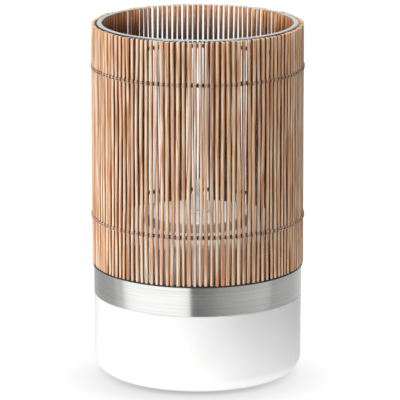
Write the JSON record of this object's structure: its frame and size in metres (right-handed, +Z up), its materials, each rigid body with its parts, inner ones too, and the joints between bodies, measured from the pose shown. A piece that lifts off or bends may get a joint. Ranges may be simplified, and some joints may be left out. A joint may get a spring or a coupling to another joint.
{
  "type": "tabletop torch",
  "caption": "Cylindrical tabletop oil torch: glazed pot, steel band, fuel tank with wick burner, glass chimney and a woven reed mat round it.",
  "frame": {"origin": "on the table under the centre of the pot", "axes": "+Z up along the centre line of the pot, tank, glass and mat; -Y is the front"},
  "size_m": [0.1208, 0.1216, 0.2005],
  "materials": {
    "glazed_porcelain": "clear gloss glaze on white porcelain",
    "brushed_steel_band": "fine brushing round the band",
    "tank_steel": "brushed round the wall",
    "satin_lid_steel": "satin with circular brushing",
    "spun_cap_steel": "spun satin",
    "turned_steel": "turned",
    "black_silicone": "matt",
    "clear_silicone": "matt, slightly clear",
    "glass_fibre": "braided, a little charred at the tip",
    "clear_glass": "clear, fire-polished rim",
    "peeled_reed": "bare peeled reed, fine lengthwise grain",
    "brown_twine": "thin twisted twine"
  },
  "bodies": {
    "base": {"base_pot": "glazed_porcelain", "foot_ring": "clear_silicone", "steel_collar": "brushed_steel_band", "collar_seal": "black_silicone", "glass_seat": "black_silicone", "band_lip": "black_silicone"},
    "tank": {"tank_floor": "tank_steel", "tank_wall": "tank_steel", "tank_lid": "satin_lid_steel", "neck_ring": "turned_steel"},
    "burner": {"burner_cap": "spun_cap_steel", "burner_plug": "turned_steel", "burner_seal": "black_silicone", "wick_tube": "spun_cap_steel", "tube_nut": "spun_cap_steel"},
    "wick": {"wick": "glass_fibre"},
    "chimney": {"glass_chimney": "clear_glass"},
    "mat": {"reeds_01": "peeled_reed", "reeds_02": "peeled_reed", "reeds_03": "peeled_reed", "reeds_04": "peeled_reed", "reeds_05": "peeled_reed", "reeds_06": "peeled_reed", "reeds_07": "peeled_reed", "reeds_08": "peeled_reed", "reeds_09": "peeled_reed", "reeds_10": "peeled_reed", "reeds_11": "peeled_reed", "reeds_12": "peeled_reed", "twine_upper_outer": "brown_twine", "twine_upper_inner": "brown_twine", "twine_lower_outer": "brown_twine", "twine_lower_inner": "brown_twine", "knot_upper": "brown_twine", "knot_lower": "brown_twine"}
  },
  "joints": [
    {"name": "tank_lift", "type": "slide", "parent": "base", "child": "tank", "axis": [0, 0, 1], "range_m": [0, 0.09]},
    {"name": "burner_lift", "type": "slide", "parent": "tank", "child": "burner", "axis": [0, 0, 1], "range_m": [0, 0.08]},
    {"name": "wick_trim", "type": "slide", "parent": "burner", "child": "wick", "axis": [0, 0, 1], "range_m": [-0.003, 0.012]},
    {"name": "chimney_lift", "type": "slide", "parent": "base", "child": "chimney", "axis": [0, 0, 1], "range_m": [0, 0.15]},
    {"name": "mat_lift", "type": "slide", "parent": "chimney", "child": "mat", "axis": [0, 0, 1], "range_m": [0, 0.14]}
  ]
}
